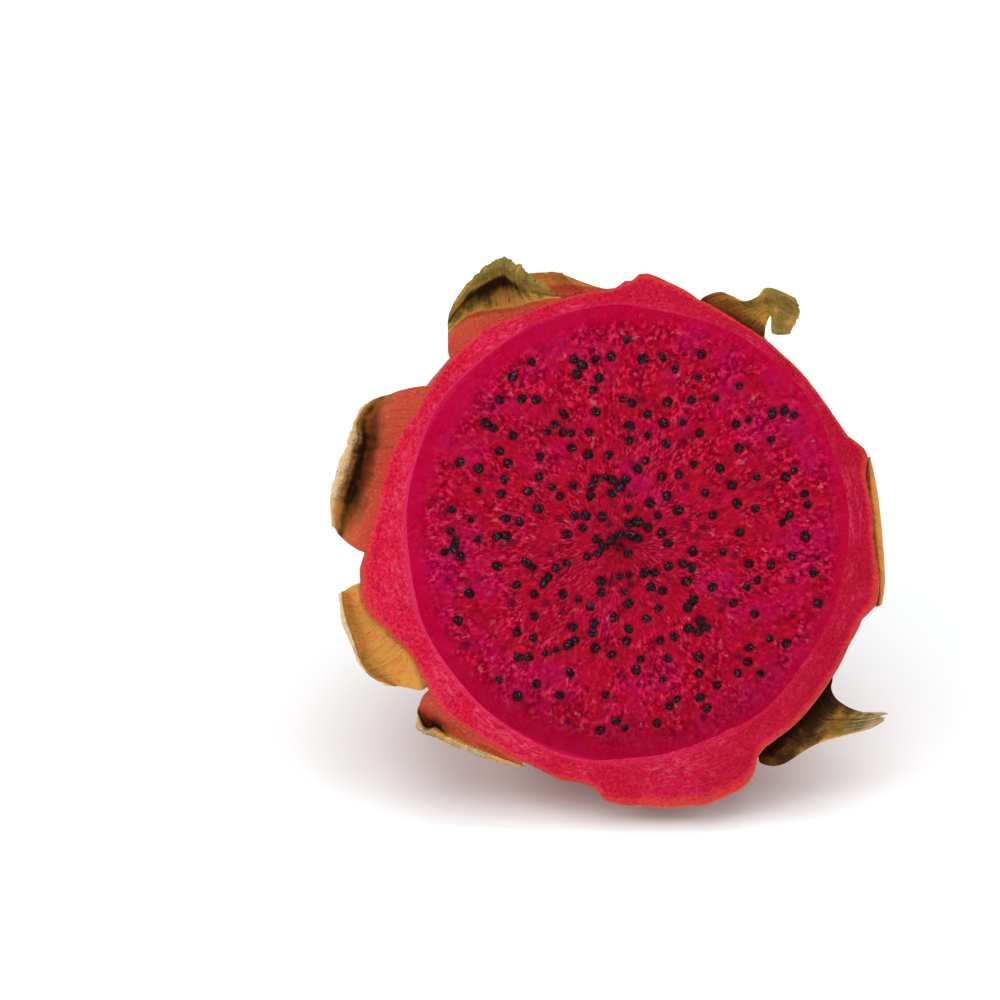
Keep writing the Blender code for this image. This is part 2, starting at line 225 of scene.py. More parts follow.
BACKWARDS = np.array((0.0, math.cos(TIP_BACK), -math.sin(TIP_BACK)))
UPWARDS = np.array((0.0, math.sin(TIP_BACK), math.cos(TIP_BACK)))
# Rightwards, backwards and upwards in the fruit's frame, as world directions
AXES = np.array(((1.0, 0.0, 0.0), BACKWARDS, UPWARDS))


def cut_face_middle():
    """The middle of the body's axis on the cut face, read from the flesh solid, in metres."""
    total, moment = 0.0, Vector()
    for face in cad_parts["flesh"].data.polygons:
        if face.normal.dot(Vector(-BACKWARDS)) > 0.9999:
            total += face.area
            moment += face.area * face.center
    return np.array(moment / total) - (FLESH_SHIFT_X * MM, 0.0, 0.0) - FLESH_SHIFT_Z * MM * UPWARDS


CUT_MIDDLE = cut_face_middle()


def place(points):
    """Points of the fruit's own frame, in millimetres, as world points in metres."""
    return CUT_MIDDLE + np.asarray(points, float) * MM @ AXES


def points_at(x, back, z):
    """Points of the fruit's own frame from their three parts, each an array or one number."""
    return np.stack(np.broadcast_arrays(x, back, z), -1)


def lattice_value(x, y, z, seed):
    """A fixed value from -1 to 1 for each whole x, y and z, scrambled by large odd numbers."""
    mixed = (x * 73856093) ^ (y * 19349663) ^ (z * 83492791) ^ (seed * 40503)
    mixed = (mixed ^ (mixed >> 13)) * 1274126177
    return ((mixed ^ (mixed >> 16)) & 0xFFFF) / 32767.5 - 1.0


def noise(points, size, seed=0):
    """Smooth noise from -1 to 1 whose lumps are about size across."""
    scaled = np.asarray(points, float) / size + 1000.0
    cell = np.floor(scaled).astype(np.int64)
    part = scaled - cell
    part = part * part * (3.0 - 2.0 * part)
    total = 0.0
    for corner in np.ndindex(2, 2, 2):
        weight = np.where(corner, part, 1.0 - part).prod(-1)
        total = total + weight * lattice_value(*np.moveaxis(cell + corner, -1, 0), seed)
    return total


def rough_noise(points, size, octaves, seed=0):
    """Noise with finer and weaker noise on top."""
    total, weight, whole = 0.0, 1.0, 0.0
    for octave in range(octaves):
        total = total + weight * noise(points, size / 2**octave, seed + 17 * octave)
        whole += weight
        weight *= 0.55
    return total / whole


def smooth_step(value, low=0.0, high=1.0):
    value = np.clip((value - low) / (high - low), 0.0, 1.0)
    return value * value * (3.0 - 2.0 * value)


def bump(value, width):
    """1 where value is 0, falling away smoothly to both sides."""
    return np.exp(-((value / width) ** 2))


def turn_between(degrees, start):
    """The shorter way round from start, from -180 to 180 degrees."""
    return (degrees - start + 180.0) % 360.0 - 180.0


def rim_swell(degrees, depth):
    """How far the skin stands outside the plain body. It does so most at the cut."""
    angles, radii = zip(*RIM)
    swell = np.interp(degrees, angles, radii, period=360) - BODY_RADIUS
    return swell * np.clip(1.0 - depth / RIM_REACH, 0.0, 1.0) ** 1.5


def profile_radius(depth):
    """The plain body's distance from its axis at this depth behind the cut."""
    share = np.clip(np.asarray(depth, float) / BODY_DEPTH, 0.0, 1.0)
    return BODY_RADIUS * (1.0 - share**BODY_SQUARENESS) ** (1.0 / BODY_SQUARENESS)


def skin_slope(depth):
    """How steeply the plain body widens towards the cut at this depth, as an angle."""
    return math.atan2(float(profile_radius(depth - 0.1) - profile_radius(depth + 0.1)), 0.2)


def superellipse(radius, depth, latitude):
    """How far out and how far back a squarish dome of this radius and depth lies at a latitude."""
    out, back = np.cos(latitude), np.sin(latitude)
    power = BODY_SQUARENESS
    length = ((np.abs(out) / radius) ** power + (back / depth) ** power) ** (-1.0 / power)
    return length * out, length * back


def flesh_outline(angle):
    """The flesh's outline on the cut face: x and z at each angle."""
    wobble = 1.0 + 0.006 * np.sin(3 * angle + 0.7) + 0.004 * np.sin(7 * angle + 2.0)
    wobble = wobble + 0.003 * np.sin(13 * angle)
    x = FLESH_SHIFT_X + FLESH_HALF_WIDTH * wobble * np.cos(angle)
    z = FLESH_SHIFT_Z + FLESH_HALF_HEIGHT * wobble * np.sin(angle)
    return x, z


def from_flesh_middle(x, z, share):
    """This share of the way from the flesh's middle to x and z on the cut face."""
    return FLESH_SHIFT_X + (x - FLESH_SHIFT_X) * share, FLESH_SHIFT_Z + (z - FLESH_SHIFT_Z) * share


def add_object(name, data):
    made = bpy.data.objects.new(name, data)
    bpy.context.scene.collection.objects.link(made)
    return made


def new_piece(name, points, faces, material, **fields):
    """An object from points in the fruit's frame, with its faces turned outwards.

    Each field becomes an attribute of the points: a number or a vector for each.
    """
    mesh = bpy.data.meshes.new(name)
    mesh.from_pydata(place(points).tolist(), [], faces)
    for key, values in fields.items():
        kind, slot = ("FLOAT_VECTOR", "vector") if values.ndim == 2 else ("FLOAT", "value")
        mesh.attributes.new(key, kind, "POINT").data.foreach_set(slot, values.astype(np.float32).ravel())
    shape = bmesh.new()
    shape.from_mesh(mesh)
    bmesh.ops.recalc_face_normals(shape, faces=shape.faces)
    shape.to_mesh(mesh)
    shape.free()
    mesh.shade_smooth()
    mesh.materials.append(material)
    return add_object(name, mesh)


def grid_faces(rows, columns, wrap=False, first=0):
    """Quads of a grid of points stored row by row."""
    faces = []
    last = columns if wrap else columns - 1
    for row in range(rows - 1):
        for column in range(last):
            a = first + row * columns + column
            b = first + row * columns + (column + 1) % columns
            faces.append((a, b, b + columns, a + columns))
    return faces


def grid_border(rows, columns):
    """The outer points of such a grid, walked once round."""
    number = np.arange(rows * columns).reshape(rows, columns)
    sides = (number[0], number[1:, -1], number[-1, -2::-1], number[-2:0:-1, 0])
    return np.concatenate(sides).tolist()


def next_round(loop):
    """The same closed loop, started one place later."""
    return loop[1:] + loop[:1]


# ---- Material helpers


class Wire:
    """A node socket on which Python arithmetic can be written."""

    def __init__(self, wiring, socket):
        self.wiring = wiring
        self.socket = socket

    def __add__(self, other):
        return self.wiring.maths("ADD", self, other)

    __radd__ = __add__

    def __sub__(self, other):
        return self.wiring.maths("SUBTRACT", self, other)

    def __rsub__(self, other):
        return self.wiring.maths("SUBTRACT", other, self)

    def __mul__(self, other):
        return self.wiring.maths("MULTIPLY", self, other)

    __rmul__ = __mul__

    def __pow__(self, other):
        return self.wiring.maths("POWER", self, other)


class Wiring:
    """A node tree, and the one way to add a node to it."""

    def __init__(self, tree):
        self.tree = tree

    def node(self, kind, settings=None, sockets=None, output=0):
        """A new node: its settings first, then its sockets' values or links."""
        made = self.tree.nodes.new(kind)
        for key, value in (settings or {}).items():
            if key == "stops":
                self.set_stops(made.color_ramp, value)
            else:
                setattr(made, key, value)
        for key, value in (sockets or {}).items():
            if isinstance(value, Wire):
                self.tree.links.new(value.socket, made.inputs[key])
            else:
                made.inputs[key].default_value = value
        return Wire(self, made.outputs[output]) if made.outputs else None

    @staticmethod
    def set_stops(ramp, stops):
        while len(ramp.elements) < len(stops):
            ramp.elements.new(1.0)
        for element, (position, colour) in zip(ramp.elements, stops):
            element.position = position
            element.color = colour

    def maths(self, operation, *values):
        return self.node("ShaderNodeMath", {"operation": operation}, dict(enumerate(values)))


class Finish(Wiring):
    """One material and the nodes that make it."""

    def __init__(self, name, **constants):
        self.material = bpy.data.materials.new(name)
        self.material.use_nodes = True
        super().__init__(self.material.node_tree)
        self.shader = self.tree.nodes["Principled BSDF"]
        for key, value in constants.items():
            self.shader.inputs[key.replace("_", " ")].default_value = value

    def attribute(self, name, vector=False):
        return self.node("ShaderNodeAttribute", {"attribute_name": name}, output=1 if vector else 2)

    def position(self):
        return self.node("ShaderNodeTexCoord", output=3)

    def grain(self, vector, size, detail=3.0, roughness=0.55):
        """Noise from 0 to 1 with lumps of about size millimetres on the vector's own scale."""
        values = {"Vector": vector, "Scale": 1.0 / (size * MM), "Detail": detail, "Roughness": roughness}
        return self.node("ShaderNodeTexNoise", None, values)

    def band(self, value, low, high):
        """The value stretched so that low becomes 0 and high becomes 1, smoothly."""
        settings = {"interpolation_type": "SMOOTHSTEP"}
        sockets = {"Value": value, "From Min": low, "From Max": high}
        return self.node("ShaderNodeMapRange", settings, sockets)

    def mix(self, share, first, second):
        return self.node("ShaderNodeMix", {"data_type": "RGBA"}, {0: share, 6: first, 7: second}, 2)

    def layers(self, colour, *coats):
        """The colour with coats laid over it in turn, each a mask and a display colour."""
        for mask, shade in coats:
            colour = self.mix(mask, colour, paint(*shade))
        return colour

    def ramp(self, value, stops):
        return self.node("ShaderNodeValToRGB", {"stops": stops}, {"Fac": value})

    def bumps(self, height, distance, strength=1.0, normal=None):
        sockets = {"Height": height, "Distance": distance * MM, "Strength": strength}
        if normal:
            sockets["Normal"] = normal
        return self.node("ShaderNodeBump", None, sockets)

    def feed(self, **sockets):
        for key, value in sockets.items():
            self.tree.links.new(value.socket, self.shader.inputs[key.replace("_", " ")])
        return self.material


def paint(red, green, blue):
    """The linear colour that shows as this display colour, 0 to 255, under the studio's light."""
    linear = []
    for level in (red / 255, green / 255, blue / 255):
        light = level / 12.92 if level <= 0.04045 else ((level + 0.055) / 1.055) ** 2.4
        linear.append(light / STUDIO_LIGHT)
    return (*linear, 1.0)


def flesh_finish():
    """Wet flesh: magenta and red patches, mottled along the fibres, calm and bright near the rind, with
    painted glints, painted shade round each seed and painted shade towards the bottom edge.
    """
    look = Finish("wet_flesh", IOR=1.38, Specular_Tint=(1.0, 0.13, 0.26, 1.0))
    here = look.position()
    fibre = look.attribute("fibre", vector=True)
    reach = look.attribute("reach")
    patches = look.grain(here, 9.0, 2.0)
    wetness = look.grain(here, 4.0, 3.0)
    streaks = look.grain(fibre, 1.6, 3.0, 0.6)
    mottle = look.grain(fibre, 0.42, 2.0, 0.55)
    painted_glint_grain = look.grain(fibre, 0.8, 2.0, 0.5)
    inside = look.band(reach, 0.97, 0.88)
    magenta = look.band(patches + 0.14 * look.band(reach, 0.5, 0.95), 0.50, 0.74)
    busy = (0.25 + 0.75 * look.band(wetness, 0.40, 0.58)) * inside
    # Where the painted glints lie, thicker where the flesh is wet
    painted_glints = look.band(painted_glint_grain, 0.63, 0.70) * busy
    colour = look.layers(
        look.mix(magenta, paint(176, 0, 34), paint(180, 0, 70)),
        (look.band(streaks, 0.50, 0.30) * 0.7, (120, 0, 22)),
        (look.band(mottle, 0.50, 0.36) * busy * 0.95, (106, 0, 22)),
        (look.band(mottle, 0.53, 0.64) * busy * 0.8, (222, 40, 80)),
        # Painted glints: pale pink flecks, also raised a little as bumps
        (painted_glints * 0.7, (228, 84, 108)),
        (look.band(reach, 0.86, 0.95) * 0.7, (192, 0, 54)),
        # Painted shade towards the bottom edge of the flesh
        (look.attribute("underside") * 0.4, (130, 0, 24)),
        (look.band(reach, 0.98, 0.995) * 0.6, (210, 18, 76)),
        (look.attribute("sunk"), (72, 0, 36)),
        # Painted shade in a ring round each seed
        (look.attribute("halo"), (70, 0, 20)),
    )
    relief = look.bumps(streaks, 0.9, 0.7)
    relief = look.bumps(mottle, 0.4, 0.8, relief)
    relief = look.bumps(painted_glints, 0.2, 0.9, relief)
    roughness = 0.12 + 0.3 * look.band(wetness, 0.62, 0.40)
    return look.feed(Base_Color=colour, Roughness=roughness, Normal=relief)


def seed_finish():
    """Near black, with grey glints on its grain."""
    look = Finish("black_seed", IOR=1.35, Specular_Tint=(0.75, 0.5, 0.62, 1.0))
    grain = look.grain(look.position(), 0.4, 2.0)
    colour = look.layers(
        look.mix(look.band(grain, 0.4, 0.6), paint(2, 1, 3), paint(18, 6, 16)),
        (look.band(grain, 0.58, 0.65) * 0.8, (120, 96, 112)),
    )
    return look.feed(Base_Color=colour, Roughness=0.3 + 0.2 * grain, Normal=look.bumps(grain, 0.9, 1.0))


def rind_finish():
    """The cut ring, with painted light making it brighter towards the left and darker towards the right, and
    the coral skin outside it.
    """
    look = Finish("rind", IOR=1.38, Specular_Tint=(1.0, 0.2, 0.24, 1.0))
    here = look.position()
    across = look.attribute("across")
    skin = look.attribute("skin")
    painted_left_light = look.attribute("fresh")
    clouds = look.grain(here, 7.0, 3.0)
    threads = look.grain(look.attribute("round_ring", vector=True), 0.7, 3.0, 0.6)
    fine = look.grain(here, 0.55, 2.0, 0.5)
    cloudy = look.band(clouds, 0.38, 0.66)
    # Painted light: darker red where the ring is shaded on the right, brighter pink where it is lit on the
    # left
    painted_shaded_right = look.mix(cloudy, paint(186, 0, 42), paint(198, 2, 54))
    fresh = look.mix(cloudy, paint(232, 14, 60), paint(240, 26, 78))
    grains = look.band(threads, 0.50, 0.62) * look.band(across, 0.75, 0.35) * look.band(clouds, 0.42, 0.58)
    uneven = across + 0.2 * (clouds - 0.5) + 0.2 * (fine - 0.5)
    cut = look.layers(
        look.mix(painted_left_light, painted_shaded_right, fresh),
        (look.band(fine, 0.50, 0.36) * 0.55, (164, 0, 34)),
        (look.band(fine, 0.54, 0.66) * (0.12 + 0.5 * painted_left_light**2), (238, 70, 100)),
        (grains * (0.3 + 0.3 * painted_left_light), (234, 92, 112)),
        (look.band(across, 0.08, 0.0) * painted_left_light * 0.8, (232, 44, 100)),
        (look.band(uneven, 0.70, 0.98) * 0.9, (232, 68, 58)),
        # A thin pale line right at the outer edge of the cut ring: a painted highlight
        (look.band(across, 0.95, 0.99) * 0.8, (240, 134, 108)),
    )
    outside = look.layers(
        look.mix(look.band(clouds, 0.36, 0.66), paint(190, 72, 60), paint(202, 106, 76)),
        (look.band(fine, 0.54, 0.70) * 0.4, (222, 146, 108)),
        # Painted shade on the skin in front of each scale's swelling
        (look.attribute("crease"), (150, 34, 34)),
    )
    height = look.bumps(threads, 0.6, 0.8, look.bumps(fine, 0.6, 0.8))
    roughness = 0.22 + 0.26 * skin + 0.14 * clouds
    return look.feed(Base_Color=look.mix(skin, cut, outside), Roughness=roughness, Normal=height)


def scale_finish():
    """Coral where the scale has not dried, then orange, ochre and olive, with painted shade in its hollows
    and pale dry edges that carry some painted highlight.
    """
    look = Finish("dried_scale", IOR=1.35, Specular_Tint=(1.0, 0.70, 0.32, 1.0))
    here = look.position()
    tone = look.attribute("tone")
    dark = look.attribute("dark")
    clouds = look.grain(here, 3.5, 4.0, 0.6)
    veins = look.grain(look.attribute("lines", vector=True), 0.8, 3.0, 0.6)
    fine = look.grain(here, 0.45, 3.0, 0.6)
    dryness = look.band(tone, 0.1, 0.4)
    amount = tone + dryness * (0.36 * (clouds - 0.5) + 0.22 * (veins - 0.5)) + 0.06 * (clouds - 0.5)
    stops = (
        (0.00, paint(198, 60, 48)),
        (0.14, paint(204, 82, 52)),
        (0.27, paint(230, 146, 66)),
        (0.36, paint(224, 160, 70)),
        (0.44, paint(162, 130, 54)),
        (0.52, paint(128, 112, 48)),
        (0.64, paint(96, 62, 26)),
    )
    shadow = look.band(dark + 0.9 * (clouds - 0.5) + 0.5 * (veins - 0.5), 0.12, 0.85)
    pale = look.band(look.attribute("pale") + 0.5 * (clouds - 0.5) + 0.3 * (fine - 0.5), 0.30, 0.72)
    specks = look.band(look.grain(here, 0.7, 1.0), 0.68, 0.74) * look.band(dryness, 0.5, 1.0)
    colour = look.layers(
        look.ramp(amount, stops),
        (look.band(fine, 0.54, 0.70) * (0.3 + 0.25 * dryness), (228, 156, 112)),
        # Near-black brown where dark is high: painted shade in the rim scales' hollows and by their roots;
        # on the back scales it darkens the edges
        (look.maths("MINIMUM", shadow, dark * 3.0), (50, 20, 4)),
        # Dried cream, partly a painted highlight on the rolled lips
        (pale * 0.85, (244, 212, 168)),
        (specks * 0.75, (66, 32, 10)),
    )
    height = look.bumps(veins, 0.9, 0.9, look.bumps(fine, 0.4, 0.8))
    return look.feed(Base_Color=colour, Roughness=0.38 + 0.3 * dryness, Normal=height)


def stalk_finish():
    look = Finish("dry_stalk")
    grain = look.grain(look.position(), 1.2, 4.0, 0.6)
    stops = ((0.3, paint(70, 50, 26)), (0.5, paint(124, 98, 56)), (0.72, paint(168, 140, 92)))
    colour = look.ramp(grain, stops)
    return look.feed(Base_Color=colour, Roughness=0.6 + 0.3 * grain, Normal=look.bumps(grain, 0.6, 0.7))


# ---- Flesh and seeds


# Of the half width of the flesh: how far apart seeds lie at least, how far out they are tried, and
# the reach past which none is kept
SEED_GAP = 0.034
SEED_SPREAD = 0.87
SEED_REACH = 0.875
# The share of tries close beside another seed. Each of the rest takes the roomiest of SEED_TRIES.
SEED_PAIRING = 0.3
SEED_TRIES = 4
# How far behind the face a seed's middle lies, from the highest to the deepest, and its usual tilt
SEED_HIGHEST = -0.32
SEED_DEEPEST = 0.22
SEED_TILT = 0.35
SEED_SIZE_SPREAD = 0.2
SEED_SIZE_PATTERN = 3
# Every seventh place holds a seed that is only a dark blur under the surface.
FIRST_SUNK = 5
SUNK_STRIDE = 7
SEED_POCKET_REACH = 4
# A distance to start from before any seed has been measured
NOWHERE_NEAR = 1e3
# The hidden back of the flesh: its rings, and how far its end stays from the rind's inner wall
FLESH_BACK_RINGS = 8
FLESH_BACK_GAP = 0.5


def seed_places(count, random):
    """Seed middles on the cut face as shares of the flesh's half width and half height."""
    places = [(0.02, 0.0)]
    while len(places) < count:
        if random.random() < SEED_PAIRING:
            near_x, near_z = places[random.integers(len(places))]
            turn = random.uniform(0, 2 * math.pi)
            away = SEED_GAP * random.uniform(1.05, 1.5)
            tries = [(near_x + away * math.cos(turn), near_z + away * math.sin(turn))]
        else:
            tries = []
            for _ in range(SEED_TRIES):
                turn = random.uniform(0, 2 * math.pi)
                reach = random.uniform(0.0, 1.0) ** 0.6 * SEED_SPREAD
                tries.append((reach * math.cos(turn), reach * math.sin(turn)))
        room = []
        for x, z in tries:
            room.append(min(math.hypot(x - a, z - b) for a, b in places) * (1.6 - math.hypot(x, z)))
        x, z = tries[int(np.argmax(room))]
        apart = min(math.hypot(x - a, z - b) for a, b in places)
        if apart > SEED_GAP and math.hypot(x, z) < SEED_REACH:
            places.append((x, z))
    return np.array(places)


def flesh_relief(x, z, seeds):
    """How far the cut flesh stands out of the cut plane, and how near each point is to a seed."""
    reach = np.hypot((x - FLESH_SHIFT_X) / FLESH_HALF_WIDTH, (z - FLESH_SHIFT_Z) / FLESH_HALF_HEIGHT)
    calm = 1.0 - 0.7 * smooth_step(reach, 0.82, 0.93) * smooth_step(x, 30.0, 0.0)
    distance = np.hypot(x, z) + 1e-6
    flat = points_at(x, 0.0, z)
    girth = 10 / distance + 0.25
    fibre = points_at(x * girth, distance * 0.35, z * girth)
    height = 0.36 * rough_noise(flat, 2.6, 3, 5) + 0.34 * rough_noise(fibre, 1.5, 2, 9)
    height = (height * calm + 0.35 * rough_noise(flat, 14.0, 2, 3)) * smooth_step(reach, 1.0, 0.9)
    nearest = np.full(x.shape, NOWHERE_NEAR)
    for seed_x, seed_z in seeds:
        close = (np.abs(x - seed_x) < SEED_POCKET_REACH) & (np.abs(z - seed_z) < SEED_POCKET_REACH)
        apart = np.hypot(x[close] - seed_x, z[close] - seed_z)
        height[close] += 0.24 * bump(apart - 1.5, 0.5) - 0.35 * bump(apart, 0.9)
        nearest[close] = np.minimum(nearest[close], apart)
    height = height - 0.3 * reach**2
    return height, nearest, reach, fibre


def disc_grid(steps):
    """A square grid of points eased into the unit disc."""
    line = np.linspace(-1.0, 1.0, steps)
    x, z = np.meshgrid(line, line)
    wide = np.abs(x) > np.abs(z)
    radius = np.where(wide, x, z)
    with np.errstate(divide="ignore", invalid="ignore"):
        turn = np.where(wide, math.pi / 4 * z / x, math.pi / 2 - math.pi / 4 * x / z)
    turn = np.nan_to_num(turn)
    return radius * np.cos(turn), radius * np.sin(turn)


def make_flesh(settings, seeds, sunk):
    """The flesh: its cut face with a seed's pocket at each of seeds, and a dark blur over each sunk one."""
    steps = settings.flesh_steps
    x, z = disc_grid(steps)
    x, z = from_flesh_middle(*flesh_outline(np.arctan2(z, x)), np.hypot(x, z))
    height, nearest, reach, fibre = flesh_relief(x, z, seeds)
    points = points_at(x, -height, z).reshape(-1, 3)
    faces = grid_faces(steps, steps)
    # The rim of the grid carries the hidden back of the flesh.
    loop = grid_border(steps, steps)
    far_end = np.array((FLESH_SHIFT_X, FLESH_DEPTH - FLESH_BACK_GAP, FLESH_SHIFT_Z))
    spokes = (points[loop] - far_end) * (1.0, 0.0, 1.0)
    for latitude in np.linspace(0.0, math.pi / 2, FLESH_BACK_RINGS + 1)[1:-1]:
        out, back = superellipse(1.0, 1.0, latitude)
        after = list(range(len(points), len(points) + len(loop)))
        points = np.concatenate((points, far_end * (1.0, back, 1.0) + spokes * out))
        faces += zip(loop, next_round(loop), next_round(after), after)
        loop = after
    faces += zip(loop, next_round(loop), [len(points)] * len(loop))
    points = np.concatenate((points, [far_end]))
    hidden = len(points) - x.size

    def with_back(values, behind=0.0):
        """Values of the cut face, then one value all over the hidden back."""
        return np.append(values, np.full(hidden, behind))

    blurs = np.full(x.shape, NOWHERE_NEAR)
    for blot_x, blot_z in sunk:
        blurs = np.minimum(blurs, np.hypot(x - blot_x, z - blot_z))
    fields = {
        # The fibres come closer to the rind on the right.
        "reach": with_back(reach * (1.0 - 0.045 * smooth_step(x, -15.0, 25.0)), 1.0),
        # Painted shade in a ring round each seed, within about a millimetre of it
        "halo": with_back(0.6 * smooth_step(nearest, 1.15, 0.7)),
        # Painted shade towards the bottom edge of the flesh
        "underside": with_back(smooth_step(reach, 0.72, 0.93) * smooth_step(-z, 8.0, 36.0)),
        "sunk": with_back(0.75 * smooth_step(blurs, 1.2, 0.3)),
        "fibre": np.concatenate((fibre.reshape(-1, 3) * MM, np.zeros((hidden, 3)))),
    }
    return new_piece("fruit_flesh", points, faces, flesh_finish(), **fields)


def seed_tree(settings):
    """Geometry nodes that set a tapered seed on every point, turned by the point and sized by chance."""
    nodes = Wiring(bpy.data.node_groups.new("seeds_on_points", "GeometryNodeTree"))
    for way in ("INPUT", "OUTPUT"):
        nodes.tree.interface.new_socket("Geometry", in_out=way, socket_type="NodeSocketGeometry")
    points = nodes.node("NodeGroupInput")
    seed = nodes.node("GeometryNodeMeshUVSphere", None, {"Segments": 8, "Rings": 6, "Radius": 0.5})
    # The ball narrows towards one end, as a seed does.
    here = nodes.node("GeometryNodeInputPosition")
    x, y, z = (nodes.node("ShaderNodeSeparateXYZ", None, {0: here}, axis) for axis in range(3))
    there = nodes.node("ShaderNodeCombineXYZ", None, {"X": x, "Y": y * (0.95 - 0.55 * x), "Z": z})
    seed = nodes.node("GeometryNodeSetPosition", None, {"Geometry": seed, "Position": there})
    size = (settings.seed_length, settings.seed_width, settings.seed_thickness)
    seed = nodes.node("GeometryNodeTransform", None, {"Geometry": seed, "Scale": size})
    seed = nodes.node("GeometryNodeSetShadeSmooth", None, {"Geometry": seed})
    turn = nodes.node("GeometryNodeInputNamedAttribute", {"data_type": "FLOAT_VECTOR"}, {"Name": "turn"})
    limits = {2: 1.0 - SEED_SIZE_SPREAD, 3: 1.0 + SEED_SIZE_SPREAD, "Seed": SEED_SIZE_PATTERN}
    spread = nodes.node("FunctionNodeRandomValue", {"data_type": "FLOAT"}, limits, 1)
    copies = {"Points": points, "Instance": seed, "Rotation": turn, "Scale": spread}
    seeds = nodes.node("GeometryNodeInstanceOnPoints", None, copies)
    seeds = nodes.node("GeometryNodeRealizeInstances", None, {0: seeds})
    seeds = nodes.node("GeometryNodeSetMaterial", None, {"Geometry": seeds, "Material": seed_finish()})
    nodes.node("NodeGroupOutput", None, {0: seeds})
    return nodes.tree


def make_seeds(settings, seeds, random):
    """Seeds lying in the cut flesh, most of them half out of it."""
    x, z = seeds[:, 0], seeds[:, 1]
    height = flesh_relief(x, z, seeds)[0]
    lying = -height + random.uniform(SEED_HIGHEST, SEED_DEEPEST, len(seeds))
    mesh = bpy.data.meshes.new("seed_points")
    mesh.from_pydata(place(points_at(x, lying, z)).tolist(), [], [])
    turns = []
    for _ in seeds:
        spin = random.uniform(0, 2 * math.pi)
        tilt_x, tilt_y = random.normal(0.0, SEED_TILT, 2)
        # Spin about the face's own normal comes first, then the tip of the face.
        lean = Euler((math.pi / 2 - TIP_BACK + tilt_x, 0.0, 0.0)).to_matrix()
        turn = lean @ Euler((0.0, tilt_y, 0.0)).to_matrix() @ Euler((0.0, 0.0, spin)).to_matrix()
        turns.extend(turn.to_euler())
    mesh.attributes.new("turn", "FLOAT_VECTOR", "POINT").data.foreach_set("vector", turns)
    scatter = add_object("seed_points", mesh)
    scatter.modifiers.new("seeds", "NODES").node_group = seed_tree(settings)
    evaluated = scatter.evaluated_get(bpy.context.evaluated_depsgraph_get())
    made = add_object("fruit_seeds", bpy.data.meshes.new_from_object(evaluated))
    bpy.data.objects.remove(scatter)
    return made


# ---- Rind


# How far behind the cut the skin swells under a rim scale, and how long that swelling is
RIM_SCALE_ROOT = 7.0
RIM_SCALE_SWELL_LENGTH = 14.0
SWELL_HEIGHT = 1.5
# Strength of the painted shade in front of each scale's swelling
CREASE_SHADE = 0.6


def scale_roots():
    """Where each scale leaves the skin: its angle, its depth, its width and its length."""
    roots = []
    for cage in CAGES:
        first, last = cage.rows[0][4][0], cage.rows[0][4][-1]
        angle = math.degrees(math.atan2(first[1] + last[1], first[0] + last[0]))
        roots.append((angle, RIM_SCALE_ROOT, math.dist(first, last), RIM_SCALE_SWELL_LENGTH))
    for blade in back_blades():
        roots.append((blade.angle, blade.depth, blade.width, blade.length))
    return roots


def skin_relief(degrees, depth):
    """Swelling of the skin under each scale, and the painted shade of a crease in front of it."""
    swell = np.zeros(np.broadcast(degrees, depth).shape)
    crease = np.zeros_like(swell)
    for angle, root_depth, width, length in scale_roots():
        around = np.radians(turn_between(degrees, angle)) * profile_radius(root_depth)
        behind = depth - root_depth
        side = bump(around, width * 0.42)
        rise = smooth_step(behind, length * 1.1, 0.0) * smooth_step(behind, -4.0, 1.0)
        swell = np.maximum(swell, SWELL_HEIGHT * side * rise)
        front = bump(behind + length * 0.5, length * 0.55) * bump(around, width * 0.55)
        crease = np.maximum(crease, CREASE_SHADE * front)
    return swell, crease


# The inner wall, from one latitude to the other, just inside the flesh's outline
WALL_ROWS = 6
WALL_START = 0.14
WALL_END = 0.92 * math.pi / 2
WALL_TUCK = 0.985
# The cut ring starts under the flesh's edge, at this share of its own width. It lies a little
# behind the cut plane, more so at the skin, and dips where it runs under the flesh.
RING_ROWS = 18
RING_START = -0.25
RING_SINK = 0.14
EDGE_SINK = 0.30
RING_DIP = 1.6


